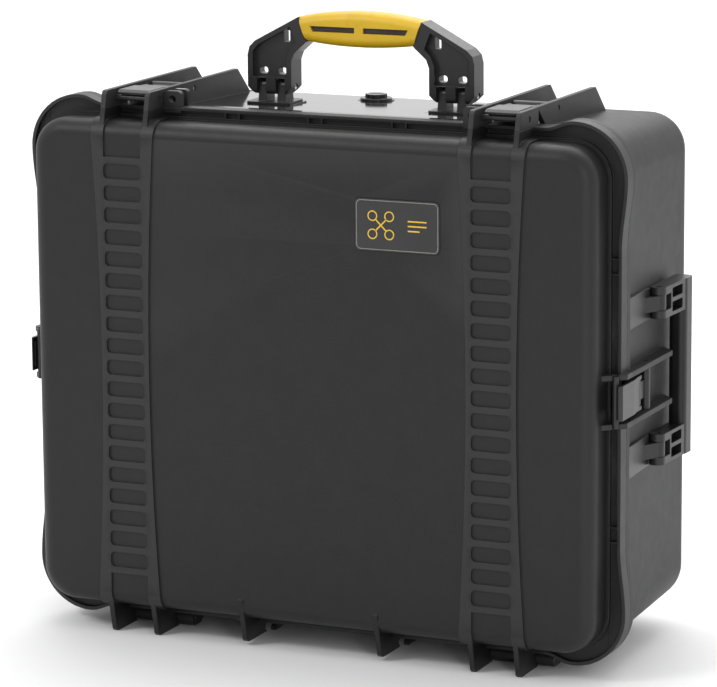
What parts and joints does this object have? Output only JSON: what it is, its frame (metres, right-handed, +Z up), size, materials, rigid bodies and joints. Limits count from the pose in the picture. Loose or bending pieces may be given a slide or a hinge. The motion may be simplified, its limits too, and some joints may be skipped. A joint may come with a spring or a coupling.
{
  "type": "drone carrying case",
  "caption": "Upright hard carrying case with ribbed lid, guarded latches, folding handles, pressure valve and cut foam for a drone.",
  "frame": {"origin": "on the ground, under the middle of the case's width and depth, the case standing on its hinge side", "axes": "+X across the width to the right, +Y from the lid to the rear, +Z up to the top handle"},
  "size_m": [0.6364, 0.272, 0.6085],
  "materials": {
    "shell": "fine pebble grain, matte",
    "latch": "fine grain, satin",
    "handle": "satin",
    "grip": "soft satin",
    "inlay": "matte",
    "badge": "satin",
    "pin": "brushed",
    "seal": "matte",
    "foam": "open cell foam",
    "valve": "gloss"
  },
  "bodies": {
    "body": {"body_shell": "shell", "body_seal": "seal", "foam_base": "foam", "handle_bracket_left": "handle", "handle_bracket_right": "handle", "handle_pin_left": "pin", "handle_pin_right": "pin", "hinge_pin_left": "pin", "hinge_pin_right": "pin", "side_brackets_right": "handle", "side_brackets_left": "handle", "side_pins_right": "pin", "side_pins_left": "pin", "valve_body": "valve", "valve_nut": "valve", "latch_pin_top_left": "pin", "latch_pin_top_right": "pin", "latch_pin_left": "pin", "latch_pin_right": "pin"},
    "lid": {"lid_shell": "shell", "lid_guards_top_left": "shell", "lid_guards_top_right": "shell", "lid_guards_left": "shell", "lid_guards_right": "shell", "lid_flange_left": "shell", "lid_flange_right": "shell", "lid_bumper_a_left": "shell", "lid_bumper_a_right": "shell", "lid_bumper_b_left": "shell", "lid_bumper_b_right": "shell", "foam_lid": "foam", "badge_plate": "badge", "catch_bar_top_left": "latch", "catch_bar_top_right": "latch", "catch_bar_left": "latch", "catch_bar_right": "latch"},
    "top_handle": {"handle_frame": "handle", "handle_grip": "grip", "grip_inlays": "inlay"},
    "right_handle": {"side_handle_right": "handle"},
    "left_handle": {"side_handle_left": "handle"},
    "valve_cap": {"valve_knob": "valve"},
    "claw_top_left": {"latch_claw_top_left": "latch", "lever_pin_top_left": "pin"},
    "lever_top_left": {"latch_lever_top_left": "latch"},
    "claw_top_right": {"latch_claw_top_right": "latch", "lever_pin_top_right": "pin"},
    "lever_top_right": {"latch_lever_top_right": "latch"},
    "claw_left": {"latch_claw_left": "latch", "lever_pin_left": "pin"},
    "lever_left": {"latch_lever_left": "latch"},
    "claw_right": {"latch_claw_right": "latch", "lever_pin_right": "pin"},
    "lever_right": {"latch_lever_right": "latch"}
  },
  "joints": [
    {"name": "lid_hinge", "type": "hinge", "parent": "body", "child": "lid", "pos_m": [0, -0.081, 0.0085], "axis": [1, 0, 0], "range_deg": [0, 100]},
    {"name": "handle_fold", "type": "hinge", "parent": "body", "child": "top_handle", "pos_m": [0, 0.009, 0.5317], "axis": [1, 0, 0], "range_deg": [0, 88]},
    {"name": "right_handle_swing", "type": "hinge", "parent": "body", "child": "right_handle", "pos_m": [0.307, 0, 0.275], "axis": [0, 0, -1], "range_deg": [0, 85]},
    {"name": "left_handle_swing", "type": "hinge", "parent": "body", "child": "left_handle", "pos_m": [-0.307, 0, 0.275], "axis": [0, 0, 1], "range_deg": [0, 85]},
    {"name": "valve_turn", "type": "hinge", "parent": "body", "child": "valve_cap", "pos_m": [-0.018, 0.077, 0.515], "axis": [0, 0, 1], "range_deg": [0, 270]},
    {"name": "latch_top_left", "type": "hinge", "parent": "body", "child": "claw_top_left", "pos_m": [-0.1913, -0.029, 0.5305], "axis": [-1, 0, 0], "range_deg": [0, 105]},
    {"name": "lever_top_left", "type": "hinge", "parent": "claw_top_left", "child": "lever_top_left", "pos_m": [-0.1913, -0.051, 0.5308], "axis": [-1, 0, 0], "range_deg": [0, 55]},
    {"name": "latch_top_right", "type": "hinge", "parent": "body", "child": "claw_top_right", "pos_m": [0.1913, -0.029, 0.5305], "axis": [-1, 0, 0], "range_deg": [0, 105]},
    {"name": "lever_top_right", "type": "hinge", "parent": "claw_top_right", "child": "lever_top_right", "pos_m": [0.1913, -0.051, 0.5308], "axis": [-1, 0, 0], "range_deg": [0, 55]},
    {"name": "latch_left", "type": "hinge", "parent": "body", "child": "claw_left", "pos_m": [-0.3045, -0.029, 0.269], "axis": [0, 0, -1], "range_deg": [0, 105]},
    {"name": "lever_left", "type": "hinge", "parent": "claw_left", "child": "lever_left", "pos_m": [-0.3048, -0.051, 0.269], "axis": [0, 0, -1], "range_deg": [0, 55]},
    {"name": "latch_right", "type": "hinge", "parent": "body", "child": "claw_right", "pos_m": [0.3045, -0.029, 0.269], "axis": [0, 0, 1], "range_deg": [0, 105]},
    {"name": "lever_right", "type": "hinge", "parent": "claw_right", "child": "lever_right", "pos_m": [0.3048, -0.051, 0.269], "axis": [0, 0, 1], "range_deg": [0, 55]}
  ]
}
